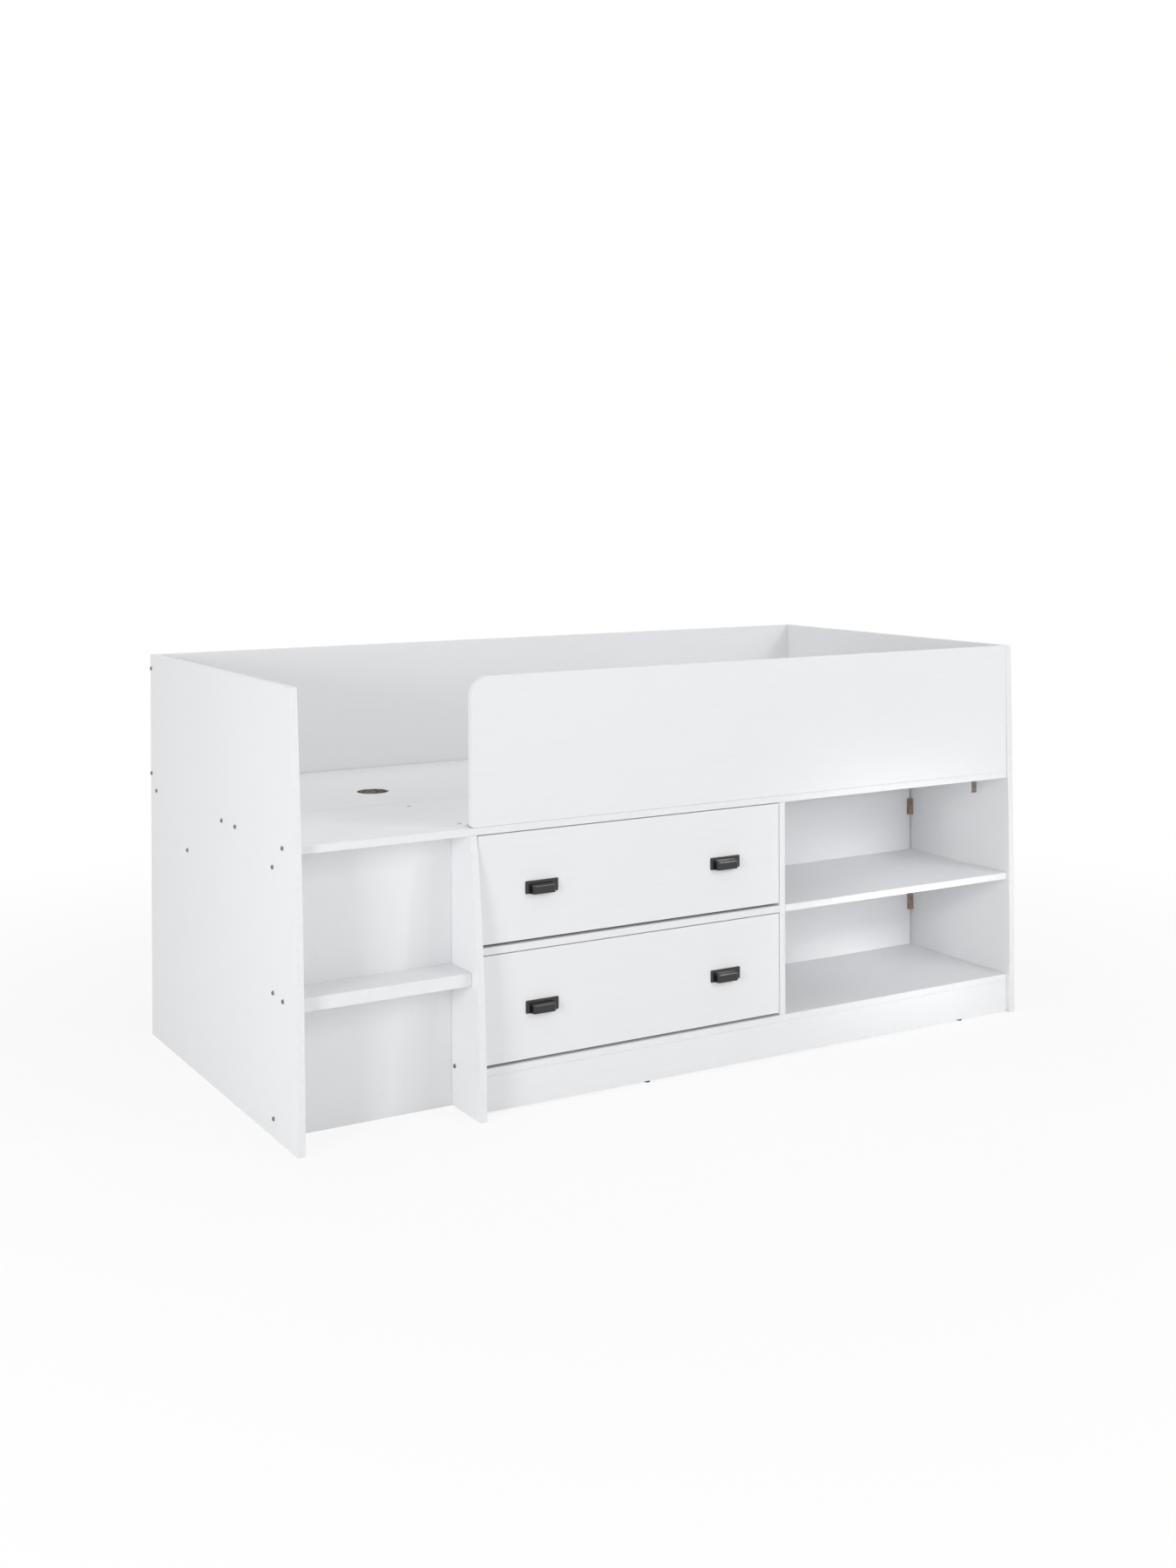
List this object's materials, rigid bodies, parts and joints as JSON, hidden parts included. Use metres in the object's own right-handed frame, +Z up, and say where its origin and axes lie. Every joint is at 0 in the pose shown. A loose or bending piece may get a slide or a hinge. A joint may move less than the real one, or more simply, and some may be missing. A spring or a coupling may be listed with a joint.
{
  "type": "mid sleeper bed",
  "caption": "Raised single bed deck with back board and guard rail over a step nook, wide inset drawers with cup pulls and open shelf bays.",
  "frame": {"origin": "on the floor under the middle of the whole bed's box", "axes": "+X along the bed to the right as seen from the front, +Y from the front to the back, +Z up"},
  "size_m": [1.956, 0.987, 0.937],
  "materials": {
    "white_melamine": "satin white melamine with a fine embossed grain",
    "beech": "plain beech",
    "zinc_steel": "zinc plated sheet",
    "dark_steel": "dark plated steel",
    "black_satin": "satin black",
    "black_plastic": "matte",
    "white_nylon": "matte",
    "brown_plastic": "matte"
  },
  "bodies": {
    "bed_frame": {"left_end_panel": "white_melamine", "right_end_panel": "white_melamine", "back_board": "white_melamine", "guard_rail": "white_melamine", "front_deck_board": "white_melamine", "rear_deck_board": "white_melamine", "rear_deck_beam": "white_melamine", "left_deck_cleat": "white_melamine", "right_deck_cleat": "white_melamine", "nook_divider": "white_melamine", "nook_back_panel": "white_melamine", "step_board": "white_melamine", "middle_divider": "white_melamine", "bottom_board": "white_melamine", "drawer_bay_shelf": "white_melamine", "open_bay_shelf": "white_melamine", "unit_back_panel": "white_melamine", "plinth": "white_melamine", "plinth_glides": "black_plastic", "joint_blocks": "brown_plastic", "panel_bolts": "dark_steel", "board_screws": "dark_steel", "panel_dowels": "beech", "rail_brackets": "zinc_steel", "small_screws": "dark_steel", "screw_caps": "white_nylon", "upper_left_fixed_runner": "zinc_steel", "upper_right_fixed_runner": "zinc_steel", "lower_left_fixed_runner": "zinc_steel", "lower_right_fixed_runner": "zinc_steel"},
    "upper_drawer": {"upper_drawer_front": "white_melamine", "upper_drawer_left_side": "white_melamine", "upper_drawer_right_side": "white_melamine", "upper_drawer_back": "white_melamine", "upper_drawer_bottom": "white_melamine", "upper_drawer_left_handle": "black_satin", "upper_drawer_right_handle": "black_satin", "upper_drawer_left_runner": "zinc_steel", "upper_drawer_right_runner": "zinc_steel", "upper_drawer_screws": "dark_steel", "upper_drawer_dowels": "beech"},
    "lower_drawer": {"lower_drawer_front": "white_melamine", "lower_drawer_left_side": "white_melamine", "lower_drawer_right_side": "white_melamine", "lower_drawer_back": "white_melamine", "lower_drawer_bottom": "white_melamine", "lower_drawer_left_handle": "black_satin", "lower_drawer_right_handle": "black_satin", "lower_drawer_left_runner": "zinc_steel", "lower_drawer_right_runner": "zinc_steel", "lower_drawer_screws": "dark_steel", "lower_drawer_dowels": "beech"},
    "upper_left_fixed_roller": {"upper_left_fixed_roller": "white_nylon"},
    "upper_right_fixed_roller": {"upper_right_fixed_roller": "white_nylon"},
    "lower_left_fixed_roller": {"lower_left_fixed_roller": "white_nylon"},
    "lower_right_fixed_roller": {"lower_right_fixed_roller": "white_nylon"},
    "upper_drawer_left_roller": {"upper_drawer_left_roller": "white_nylon"},
    "upper_drawer_right_roller": {"upper_drawer_right_roller": "white_nylon"},
    "lower_drawer_left_roller": {"lower_drawer_left_roller": "white_nylon"},
    "lower_drawer_right_roller": {"lower_drawer_right_roller": "white_nylon"}
  },
  "joints": [
    {"name": "upper_drawer_slide", "type": "slide", "parent": "bed_frame", "child": "upper_drawer", "axis": [0, -1, 0], "range_m": [0, 0.26]},
    {"name": "lower_drawer_slide", "type": "slide", "parent": "bed_frame", "child": "lower_drawer", "axis": [0, -1, 0], "range_m": [0, 0.26]},
    {"name": "upper_left_fixed_roller_spin", "type": "hinge", "parent": "bed_frame", "child": "upper_left_fixed_roller", "pos_m": [-0.55, -0.4205, 0.3895], "axis": [1, 0, 0], "range_deg": [0, 1656]},
    {"name": "upper_drawer_left_roller_spin", "type": "hinge", "parent": "upper_drawer", "child": "upper_drawer_left_roller", "pos_m": [-0.549, -0.1165, 0.3865], "axis": [1, 0, 0], "range_deg": [0, 1656]},
    {"name": "upper_right_fixed_roller_spin", "type": "hinge", "parent": "bed_frame", "child": "upper_right_fixed_roller", "pos_m": [0.236, -0.4205, 0.3895], "axis": [1, 0, 0], "range_deg": [0, 1656]},
    {"name": "upper_drawer_right_roller_spin", "type": "hinge", "parent": "upper_drawer", "child": "upper_drawer_right_roller", "pos_m": [0.235, -0.1165, 0.3865], "axis": [1, 0, 0], "range_deg": [0, 1656]},
    {"name": "lower_left_fixed_roller_spin", "type": "hinge", "parent": "bed_frame", "child": "lower_left_fixed_roller", "pos_m": [-0.55, -0.4205, 0.1305], "axis": [1, 0, 0], "range_deg": [0, 1656]},
    {"name": "lower_drawer_left_roller_spin", "type": "hinge", "parent": "lower_drawer", "child": "lower_drawer_left_roller", "pos_m": [-0.549, -0.1165, 0.1275], "axis": [1, 0, 0], "range_deg": [0, 1656]},
    {"name": "lower_right_fixed_roller_spin", "type": "hinge", "parent": "bed_frame", "child": "lower_right_fixed_roller", "pos_m": [0.236, -0.4205, 0.1305], "axis": [1, 0, 0], "range_deg": [0, 1656]},
    {"name": "lower_drawer_right_roller_spin", "type": "hinge", "parent": "lower_drawer", "child": "lower_drawer_right_roller", "pos_m": [0.235, -0.1165, 0.1275], "axis": [1, 0, 0], "range_deg": [0, 1656]}
  ],
  "couplings": [
    {"joint": "upper_left_fixed_roller_spin", "follows": "upper_drawer_slide", "rad_per_m": 111.11},
    {"joint": "upper_drawer_left_roller_spin", "follows": "upper_drawer_slide", "rad_per_m": 111.11},
    {"joint": "upper_right_fixed_roller_spin", "follows": "upper_drawer_slide", "rad_per_m": 111.11},
    {"joint": "upper_drawer_right_roller_spin", "follows": "upper_drawer_slide", "rad_per_m": 111.11},
    {"joint": "lower_left_fixed_roller_spin", "follows": "lower_drawer_slide", "rad_per_m": 111.11},
    {"joint": "lower_drawer_left_roller_spin", "follows": "lower_drawer_slide", "rad_per_m": 111.11},
    {"joint": "lower_right_fixed_roller_spin", "follows": "lower_drawer_slide", "rad_per_m": 111.11},
    {"joint": "lower_drawer_right_roller_spin", "follows": "lower_drawer_slide", "rad_per_m": 111.11}
  ]
}
